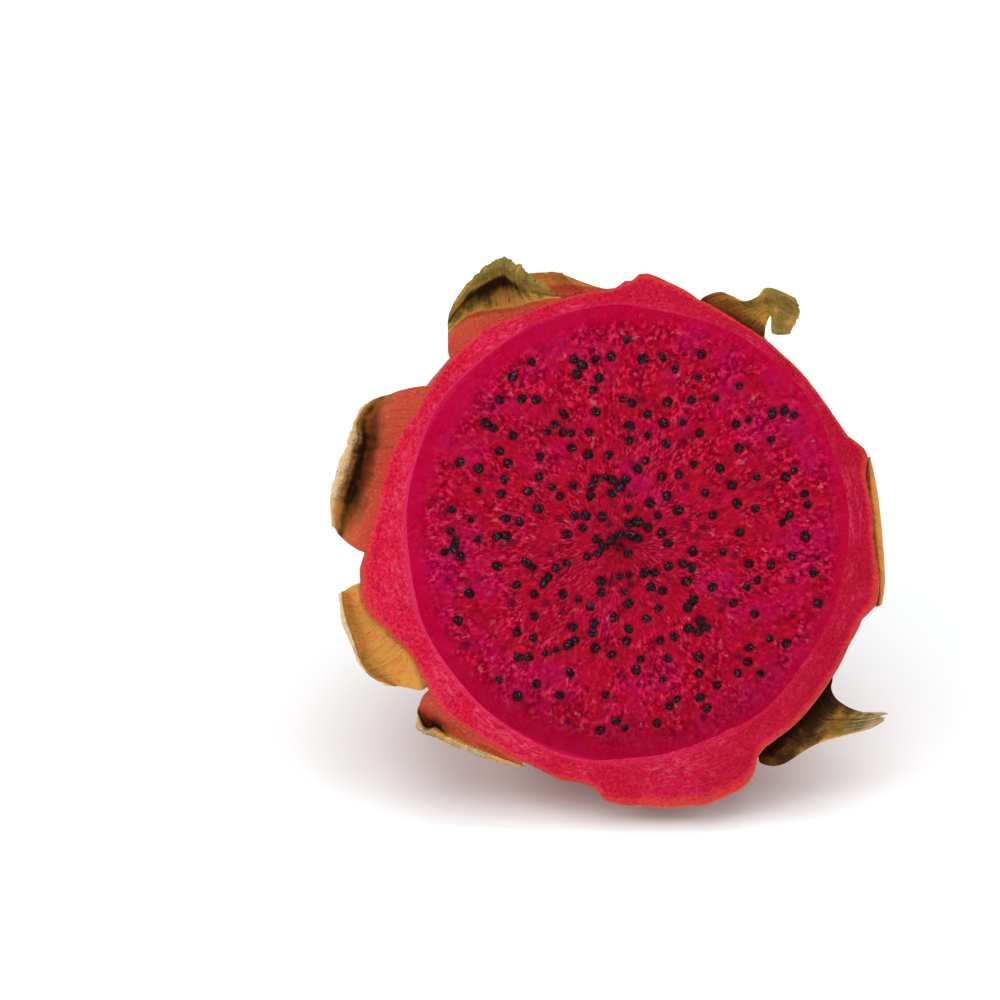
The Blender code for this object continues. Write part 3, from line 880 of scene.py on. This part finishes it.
def make_rind(settings):
    """The rind: rows of points round the axis, from the inner wall over the cut ring to the stalk."""
    segments = settings.rind_segments
    angle = np.linspace(-math.pi, math.pi, segments, endpoint=False)
    degrees, cos, sin = np.degrees(angle), np.cos(angle), np.sin(angle)
    edge_x, edge_z = flesh_outline(angle)
    rows, shades = [], []

    def add_row(x, back, z, across=0.0, skin=0.0, crease=0.0):
        rows.append(points_at(x, back, z))
        shades.append(np.stack(np.broadcast_arrays(across, skin, crease, x)[:3]))

    # The hidden inner wall, from its far end to the cut
    for latitude in np.linspace(WALL_END, WALL_START, WALL_ROWS):
        out, back = superellipse(1.0, 1.0, latitude)
        x, z = from_flesh_middle(edge_x, edge_z, out * WALL_TUCK)
        add_row(x, back * FLESH_DEPTH, z)
    # The cut ring
    wobble = 0.2 * rough_noise(points_at(cos * 20, 0.0, sin * 20), 2.0, 3, 31)
    outer = BODY_RADIUS + rim_swell(degrees, 0.0) + wobble
    for share in np.linspace(RING_START, 1.0, RING_ROWS):
        x = edge_x + (outer * cos - edge_x) * share
        z = edge_z + (outer * sin - edge_z) * share
        bulge = 0.2 * rough_noise(points_at(x, 0.0, z), 1.6, 3, 41)
        bulge = bulge * smooth_step(share, 1.0, 0.85) * smooth_step(share, -0.1, 0.2)
        sink = RING_SINK + EDGE_SINK * smooth_step(share, 0.93, 1.0) + RING_DIP * max(-share, 0.0)
        add_row(x, sink - bulge, z, max(share, 0.0))
    # The outer skin, from the cut to the stalk
    for row in range(1, settings.skin_rows):
        share = row / settings.skin_rows
        latitude = (0.35 * share + 0.65 * share**1.35) * math.pi / 2
        out, back = superellipse(BODY_RADIUS, BODY_DEPTH, np.full(segments, latitude))
        out = out + rim_swell(degrees, back) + wobble * np.clip(1 - back / 12, 0, 1)
        swell, crease = skin_relief(degrees, back)
        fade = smooth_step(back, 0.0, 3.0)
        flat = points_at(out * cos, back, out * sin)
        lumps = 0.30 * rough_noise(flat, 7.0, 3, 51) + 0.05 * rough_noise(flat, 1.2, 2, 61)
        grow = (swell + lumps) * fade * smooth_step(share, 1.0, 0.93)
        dimple = STALK_DIMPLE_DEPTH * bump(out, STALK_DIMPLE_RADIUS)
        back = back - dimple + grow * math.sin(latitude)
        out = out + grow * math.cos(latitude)
        add_row(out * cos, back, out * sin, 1.0, smooth_step(back, 0.2, 1.4), crease * fade)
    points = np.concatenate(rows)
    across, skin, crease = np.concatenate(shades, axis=1)
    faces = grid_faces(len(rows), segments, wrap=True)
    inner = list(range(segments))
    final = [len(points) - segments + column for column in inner]
    faces += zip([len(points)] * segments, next_round(inner), inner)
    faces += zip([len(points) + 1] * segments, final, next_round(final))
    inner_pole = (FLESH_SHIFT_X, FLESH_DEPTH, FLESH_SHIFT_Z)
    stalk_pole = (0.0, BODY_DEPTH - STALK_DIMPLE_DEPTH, 0.0)
    points = np.concatenate((points, [inner_pole, stalk_pole]))
    turned = np.arctan2(points[:, 2], points[:, 0])
    radius = np.hypot(points[:, 0], points[:, 2])
    fields = {
        "across": np.append(across, (0.0, 1.0)),
        "skin": np.append(skin, (0.0, 1.0)),
        "crease": np.append(crease, (0.0, 0.0)),
        # Painted light: how much brighter the cut ring is lit towards the left
        "fresh": np.clip(0.5 - points[:, 0] / (2 * BODY_RADIUS), 0.0, 1.0),
        "round_ring": MM * points_at(np.cos(turned) * 18, radius * 1.3 + points[:, 1], np.sin(turned) * 18),
    }
    return new_piece("fruit_rind", rest_on_floor(points), faces, rind_finish(), **fields)


def rest_on_floor(points):
    """Points of the fruit's frame, none of them below the floor."""
    below = np.minimum(place(points)[:, 2:], 0.0) / MM
    return points - below * AXES[:, 2]


# ---- Scales and stalk


# Points across and along a scale
RIM_SCALE_STEPS = (81, 101)
BACK_SCALE_STEPS = (37, 41)
TOWARDS_CUT = (0.0, -1.0, 0.0)
# The rim scales' wrinkles have the patterns 1 to 8, and the scales behind them have theirs from here.
FIRST_BACK_PATTERN = 21


def curve_through(points, where):
    """A smooth curve through the points of each column, at the steps that where gives."""
    last = len(points) - 1
    index = np.clip(np.floor(where).astype(int), 0, last - 1)
    column = np.arange(points.shape[1])
    share = (where - index)[..., None]
    before = points[np.maximum(index - 1, 0), column]
    here, after = points[index, column], points[index + 1, column]
    beyond = points[np.minimum(index + 2, last), column]
    bend = 2 * before - 5 * here + 4 * after - beyond
    twist = 3 * here - before - 3 * after + beyond
    return 0.5 * (2 * here + (after - before) * share + bend * share**2 + twist * share**3)


def spread_across(points, columns):
    """The same cage with its columns drawn smoothly out to more columns."""
    turned = np.swapaxes(points, 0, 1)
    steps = np.linspace(0, len(turned) - 1, columns)
    where = np.repeat(steps[:, None], turned.shape[1], axis=1)
    return np.swapaxes(curve_through(turned, where), 0, 1)


def shade_between(values, where):
    """Values blended from row to row, where the higher ones stay close to their own row."""
    values = np.asarray(values)
    index = np.clip(np.floor(where).astype(int), 0, len(values) - 2)
    share = where - index
    low, high = values[index], values[index + 1]
    eased = np.where(high > low, smooth_step(share, 0.4, 1.0), smooth_step(share, 0.0, 0.6))
    return low + (high - low) * eased


# How far a rim scale's root runs on under the rind: inwards, and back from the cut
ROOT_TUCK = 2.5
ROOT_SETBACK = 1.2


def cage_sheet(cage, across, along):
    """A rim scale's inner face, and its tone, painted shade and paleness, over grids of across and along."""
    columns = across.shape[1]
    rows = []
    for _, _, _, forward, points in cage.rows:
        spread = np.linspace(-1, 1, len(points))
        hollow = bump(spread - cage.hollow[0], cage.hollow[1])
        forwards = forward * (1.0 - 0.8 * spread**4) if forward > 0 else forward * hollow
        rows.append([(x, -lift, z) for (x, z), lift in zip(points, forwards)])
    first = np.array(rows[0])
    shrink = 1.0 - ROOT_TUCK / np.linalg.norm(first, axis=1, keepdims=True)
    inside = first * shrink + (0.0, ROOT_SETBACK, 0.0)
    control = spread_across(np.array([inside, *rows]), columns)
    spots = points_at(across * 9, along * 9, cage.thickness)
    drift = 0.3 * rough_noise(spots, 4.0, 3, 77)
    where = along * (len(control) - 1)
    sheet = curve_through(control, where)
    shaded = np.clip(where + drift * smooth_step(where, 1.0, 2.0), 0, len(control) - 1)
    root = (*cage.rows[0][:2], 0.0)
    tone, dark, pale = (
        shade_between([root[each], *(row[each] for row in cage.rows)], shaded) for each in range(3)
    )
    # The painted shade gathers in the hollow.
    return sheet, tone, dark * bump(across - cage.hollow[0], cage.hollow[1] * 1.3), pale


# Steps from a back scale's root to its tip along the skin
SKIN_STEPS = 97


def blade_sheet(blade, across, along):
    """A back scale's outer face, and its tone, darkness and paleness, over grids of across and along."""
    steps = np.linspace(0.0, 1.0, SKIN_STEPS)
    depths = [float(blade.depth)]
    for _ in steps[1:]:
        depths.append(depths[-1] - math.cos(skin_slope(depths[-1])) * blade.length / len(steps))
    depth = np.interp(along, steps, depths)
    slope = np.interp(along, steps, [skin_slope(each) for each in depths])
    tip_stand = blade.length * math.sin(math.radians(blade.lift))
    stand = tip_stand * along**1.6 - 1.4 * (1.0 - along) ** 2 - across**2 * (1.0 - along)
    radius = profile_radius(depth) + stand * np.cos(slope)
    half_width = 0.9 + (blade.width / 2 - 0.9) * (1.0 - along**blade.taper) ** 0.7
    side = blade.lean * along**1.5 + half_width * across
    turn = math.radians(blade.angle) + side / radius
    back = depth + stand * np.sin(slope)
    sheet = points_at(radius * np.cos(turn), back, radius * np.sin(turn))
    sides = 0.7 * np.abs(across) ** 3 * smooth_step(along, 0.2, 0.6)
    edge = np.maximum(smooth_step(along, 0.55, 1.0), sides)
    tone = 0.04 + 0.30 * smooth_step(along, 0.25, 0.75) + 0.14 * edge
    return sheet, tone, 0.5 * edge, 0.55 * smooth_step(edge, 0.7, 1.0)


def make_leaf(shape, sheet_of, material, steps, facing, seed):
    """A closed leaf behind the sheet, thick at its root, with a ragged edge and the wrinkles of drying."""
    columns, rows = steps
    line = np.sin(np.linspace(-math.pi / 2, math.pi / 2, columns))
    across, along = np.meshgrid(line, np.linspace(0.0, 1.0, rows))
    flat = points_at(across * 9, along * 9, seed * 3.7)
    torn = rough_noise(flat * (1.0, 0.0, 1.0), 1.4, 3, seed)
    nick = rough_noise(flat * (0.0, 1.0, 1.0) + (0.0, 0.0, 50.0) * np.sign(across)[..., None], 1.4, 3, seed)
    ragged = 0.10 * shape.ragged
    along_now = along * (1.0 - ragged * smooth_step(along, 0.6, 1.0) * (0.6 + torn))
    across_now = across * (1.0 - ragged * across**4 * smooth_step(along, 0.3, 0.7) * (0.6 + nick))
    sheet, tone, dark, pale = sheet_of(shape, across_now, along_now)
    normal = np.cross(np.gradient(sheet, axis=1), np.gradient(sheet, axis=0))
    normal /= np.linalg.norm(normal, axis=-1, keepdims=True) + 1e-9
    if (normal * facing).sum() < 0:
        normal = -normal
    creases = rough_noise(flat * (1.0, 0.35, 1.0), 1.3, 3, seed + 9)
    rough = shape.wrinkle * smooth_step(along, 0.2, 0.8) * creases
    rough = rough + 0.25 * rough_noise(sheet, 5.0, 2, seed + 5)
    sheet = sheet + normal * (rough * smooth_step(along, 0.05, 0.3))[..., None]
    thin = 0.22 + 0.78 * (1.0 - along) ** 1.2
    thickness = shape.thickness * thin * (1.0 - 0.6 * across**6)
    behind = sheet - (0.4 * normal + 0.6 * np.array(facing)) * thickness[..., None]
    points = np.concatenate((sheet.reshape(-1, 3), behind.reshape(-1, 3)))
    count = rows * columns
    faces = grid_faces(rows, columns)
    faces += [tuple(reversed(face)) for face in grid_faces(rows, columns, first=count)]
    border = grid_border(rows, columns)
    far_border = [here + count for here in border]
    faces += zip(border, far_border, next_round(far_border), next_round(border))
    outer_tone = np.minimum(0.05 + 0.5 * smooth_step(along, 0.15, 0.8), tone)
    lines = (flat * (1.0, 0.25, 1.0)).reshape(-1, 3) * MM
    fields = {
        "tone": np.append(tone, outer_tone),
        "dark": np.append(dark, 0.4 * dark),
        "pale": np.append(pale, 0.6 * pale),
        "lines": np.concatenate((lines, lines + 0.05)),
    }
    return new_piece("leafy_" + shape.name, rest_on_floor(points), faces, material, **fields)


STALK_SEGMENTS = 48
STALK_ROWS = 22
STALK_SIDE_SHARE = 0.7
STALK_SINK = 2.6
STALK_HEIGHT = 6.0
STALK_RADIUS = 4.6
STALK_NARROWING = 0.9
STALK_END_RADIUS = 3.6


def make_stalk():
    """The stub: its side up to the cut, then the cut end, dished towards the middle."""
    angle = np.linspace(-math.pi, math.pi, STALK_SEGMENTS, endpoint=False)
    cos, sin = np.cos(angle), np.sin(angle)
    ribs = 0.25 * np.sin(angle * 5 + 0.6)
    root = BODY_DEPTH - STALK_DIMPLE_DEPTH
    points = []
    for share in np.linspace(0.0, 1.0, STALK_ROWS):
        if share < STALK_SIDE_SHARE:
            along = share / STALK_SIDE_SHARE
            back = root - STALK_SINK + (STALK_HEIGHT + STALK_SINK) * along
            radius = STALK_RADIUS - STALK_NARROWING * along
        else:
            inner = (share - STALK_SIDE_SHARE) / (1.0 - STALK_SIDE_SHARE)
            back = root + STALK_HEIGHT + 0.3 * inner - inner**2
            radius = STALK_END_RADIUS * (1.0 - 0.98 * inner)
        flat = points_at(cos * radius, back, sin * radius)
        lumps = 0.35 * rough_noise(flat * (1.0, 0.25, 1.0), 2.0, 3, 71)
        shift = (lumps + ribs * (1.0 - share * 0.4)) * min(1.0, radius / 2.0)
        points.append(flat + points_at(cos * shift, lumps * 0.6, sin * shift))
    points = np.concatenate(points)
    faces = grid_faces(STALK_ROWS, STALK_SEGMENTS, wrap=True)
    faces.append(tuple(range(STALK_SEGMENTS)))
    faces.append(tuple(reversed(range(len(points) - STALK_SEGMENTS, len(points)))))
    return new_piece("cut_stalk", points, faces, stalk_finish())


# ---- Stage


FLOOR_HALF_WIDTH = 4.0
LIGHTS_AIM = Vector((0.0, 0.0, 0.04))
# Each softbox's name, place, width and height, and power in watts
SOFTBOXES = (
    ("softbox_above", (0.15, 0.30, 1.25), (1.4, 1.4), 12.0),
    ("softbox_front", (-0.1, -0.60, 1.0), (0.8, 0.5), 3.2),
    ("softbox_left", (-0.95, -0.50, 0.60), (0.7, 0.8), 8.6),
    ("softbox_right", (0.95, -0.50, 0.75), (0.7, 0.7), 5.4),
)


def make_floor():
    mesh = bpy.data.meshes.new("floor")
    half = FLOOR_HALF_WIDTH
    corners = [(-half, -half, 0), (half, -half, 0), (half, half, 0), (-half, half, 0)]
    mesh.from_pydata(corners, [], [(0, 1, 2, 3)])
    look = Finish("pale_floor", Base_Color=(0.9, 0.9, 0.9, 1.0), Roughness=0.9, Specular_IOR_Level=0.1)
    mesh.materials.append(look.material)
    add_object("floor", mesh)


def make_lights(settings):
    world = bpy.data.worlds.new("studio")
    world.use_nodes = True
    surround = world.node_tree.nodes["Background"].inputs
    surround["Color"].default_value = (0.80, 0.96, 1.0, 1.0)
    surround["Strength"].default_value = settings.surround
    bpy.context.scene.world = world
    bpy.context.scene.view_settings.view_transform = "Standard"
    for name, location, size, power in SOFTBOXES:
        data = bpy.data.lights.new(name, "AREA")
        data.shape = "RECTANGLE"
        data.size, data.size_y = size
        data.energy = power * settings.light
        light = add_object(name, data)
        light.location = location
        light.rotation_euler = (LIGHTS_AIM - Vector(location)).to_track_quat("-Z", "Y").to_euler()


def make_camera(settings):
    lift = math.radians(settings.camera_lift)
    away = np.array((0.0, -math.cos(lift), math.sin(lift)))
    camera_up = np.array((0.0, math.sin(lift), math.cos(lift)))
    flesh_middle = place(np.array((FLESH_SHIFT_X, 0.0, FLESH_SHIFT_Z)))
    aim_point = flesh_middle - np.array((settings.aim_left, 0.0, 0.0)) + camera_up * settings.aim_up
    data = bpy.data.cameras.new("camera")
    data.lens = settings.lens
    data.sensor_width = 36.0
    data.clip_start = 0.01
    camera = add_object("camera", data)
    camera.location = aim_point + away * settings.camera_distance
    camera.rotation_euler = (math.pi / 2 - lift, 0.0, 0.0)
    bpy.context.scene.camera = camera


# ---- Add-on


def length_setting(name, description, default):
    return bpy.props.FloatProperty(
        name=name, description=description, default=default, subtype="DISTANCE", unit="LENGTH"
    )


def count_setting(name, description, default, lowest):
    return bpy.props.IntProperty(name=name, description=description, default=default, min=lowest)


def number_setting(name, description, default):
    return bpy.props.FloatProperty(name=name, description=description, default=default)


class FruitSettings(bpy.types.PropertyGroup):
    """Sizes and counts of the fruit's own pieces."""

    seed_count: count_setting("Seeds", "Seeds on the cut face", 262, 0)
    seed_length: length_setting("Seed Length", "Length of a seed", 2.1 * MM)
    seed_width: length_setting("Seed Width", "Width of a seed", 1.45 * MM)
    seed_thickness: length_setting("Seed Thickness", "Thickness of a seed", 1.2 * MM)
    seed_pattern: count_setting("Seed Pattern", "Number that fixes where seeds lie", 11, 0)
    flesh_steps: count_setting("Flesh Steps", "Grid steps over the flesh", 290, 20)
    rind_segments: count_setting("Rind Segments", "Steps round the rind", 480, 24)
    skin_rows: count_setting("Skin Rows", "Steps from the cut to the stalk", 120, 12)


class StageSettings(bpy.types.PropertyGroup):
    """Light and camera."""

    light: number_setting("Light", "Strength of all the softboxes", 1.0)
    surround: number_setting("Surround", "Strength of the light all round", 0.32)
    camera_lift: number_setting("Lift", "Degrees above level", 28.0)
    camera_distance: length_setting("Distance", "From the cut face's middle", 0.7)
    lens: number_setting("Lens", "Focal length in millimetres", 136.2)
    aim_left: length_setting("Aim Left", "How far left of the face it aims", 0.0233)
    aim_up: length_setting("Aim Up", "How far above the face it aims", 0.0064)


def finish_piece(piece, node=None):
    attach(piece, "root")
    if node:
        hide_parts(node)


def seeds_in_millimetres(settings, random):
    shares = seed_places(settings.seed_count, random)
    shares = shares * (1.0 + 0.05 * smooth_step(shares[:, :1], 0.0, 0.8))
    x = FLESH_SHIFT_X + shares[:, 0] * FLESH_HALF_WIDTH
    z = FLESH_SHIFT_Z + shares[:, 1] * FLESH_HALF_HEIGHT
    return np.stack((x, z), -1)


class FRUIT_OT_flesh(bpy.types.Operator):
    """Make the cut flesh and the seeds in it"""

    bl_idname = "dragon_fruit.flesh"
    bl_label = "Flesh and Seeds"

    def execute(self, context):
        settings = context.scene.fruit_settings
        random = np.random.default_rng(settings.seed_pattern)
        places = seeds_in_millimetres(settings, random)
        sunk = places[FIRST_SUNK::SUNK_STRIDE]
        seeds = np.delete(places, slice(FIRST_SUNK, None, SUNK_STRIDE), axis=0)
        finish_piece(make_flesh(settings, seeds, sunk), "flesh")
        finish_piece(make_seeds(settings, seeds, random))
        return {"FINISHED"}


class FRUIT_OT_rind(bpy.types.Operator):
    """Make the cut rind and the skin outside it"""

    bl_idname = "dragon_fruit.rind"
    bl_label = "Rind"

    def execute(self, context):
        finish_piece(make_rind(context.scene.fruit_settings), "rind")
        return {"FINISHED"}


class FRUIT_OT_scales(bpy.types.Operator):
    """Make the scales round the rim and on the back"""

    bl_idname = "dragon_fruit.scales"
    bl_label = "Scales"

    def execute(self, context):
        material = scale_finish()
        for number, cage in enumerate(CAGES, 1):
            made = make_leaf(cage, cage_sheet, material, RIM_SCALE_STEPS, TOWARDS_CUT, number)
            finish_piece(made, cage.name)
        for number, blade in enumerate(back_blades(), FIRST_BACK_PATTERN):
            turn, slope = math.radians(blade.angle), skin_slope(blade.depth)
            outward = (math.cos(turn) * math.cos(slope), math.sin(slope), math.sin(turn) * math.cos(slope))
            made = make_leaf(blade, blade_sheet, material, BACK_SCALE_STEPS, outward, number)
            finish_piece(made, blade.name)
        return {"FINISHED"}


class FRUIT_OT_stalk(bpy.types.Operator):
    """Make the stub of the stalk"""

    bl_idname = "dragon_fruit.stalk"
    bl_label = "Stalk"

    def execute(self, context):
        finish_piece(make_stalk(), "stem_stub")
        return {"FINISHED"}


class FRUIT_OT_stage(bpy.types.Operator):
    """Make the floor, the lights and the camera"""

    bl_idname = "dragon_fruit.stage"
    bl_label = "Stage"

    def execute(self, context):
        make_floor()
        make_lights(context.scene.stage_settings)
        make_camera(context.scene.stage_settings)
        return {"FINISHED"}


class FRUIT_PT_panel(bpy.types.Panel):
    """The fruit's pieces and settings"""

    bl_label = "Dragon Fruit"
    bl_idname = "FRUIT_PT_panel"
    bl_space_type = "VIEW_3D"
    bl_region_type = "UI"
    bl_category = "Dragon Fruit"

    def draw(self, context):
        column = self.layout.column()
        for group in (context.scene.fruit_settings, context.scene.stage_settings):
            for name in group.__annotations__:
                column.prop(group, name)
        for operator in OPERATORS:
            column.operator(operator.bl_idname)


OPERATORS = (FRUIT_OT_flesh, FRUIT_OT_rind, FRUIT_OT_scales, FRUIT_OT_stalk, FRUIT_OT_stage)
CLASSES = (FruitSettings, StageSettings, *OPERATORS, FRUIT_PT_panel)


def register():
    for cls in CLASSES:
        bpy.utils.register_class(cls)
    bpy.types.Scene.fruit_settings = bpy.props.PointerProperty(type=FruitSettings)
    bpy.types.Scene.stage_settings = bpy.props.PointerProperty(type=StageSettings)


def unregister():
    del bpy.types.Scene.stage_settings
    del bpy.types.Scene.fruit_settings
    for cls in reversed(CLASSES):
        bpy.utils.unregister_class(cls)


def main():
    register()
    bpy.ops.dragon_fruit.flesh()
    bpy.ops.dragon_fruit.rind()
    bpy.ops.dragon_fruit.scales()
    bpy.ops.dragon_fruit.stalk()
    bpy.ops.dragon_fruit.stage()


if __name__ == "__main__":
    main()
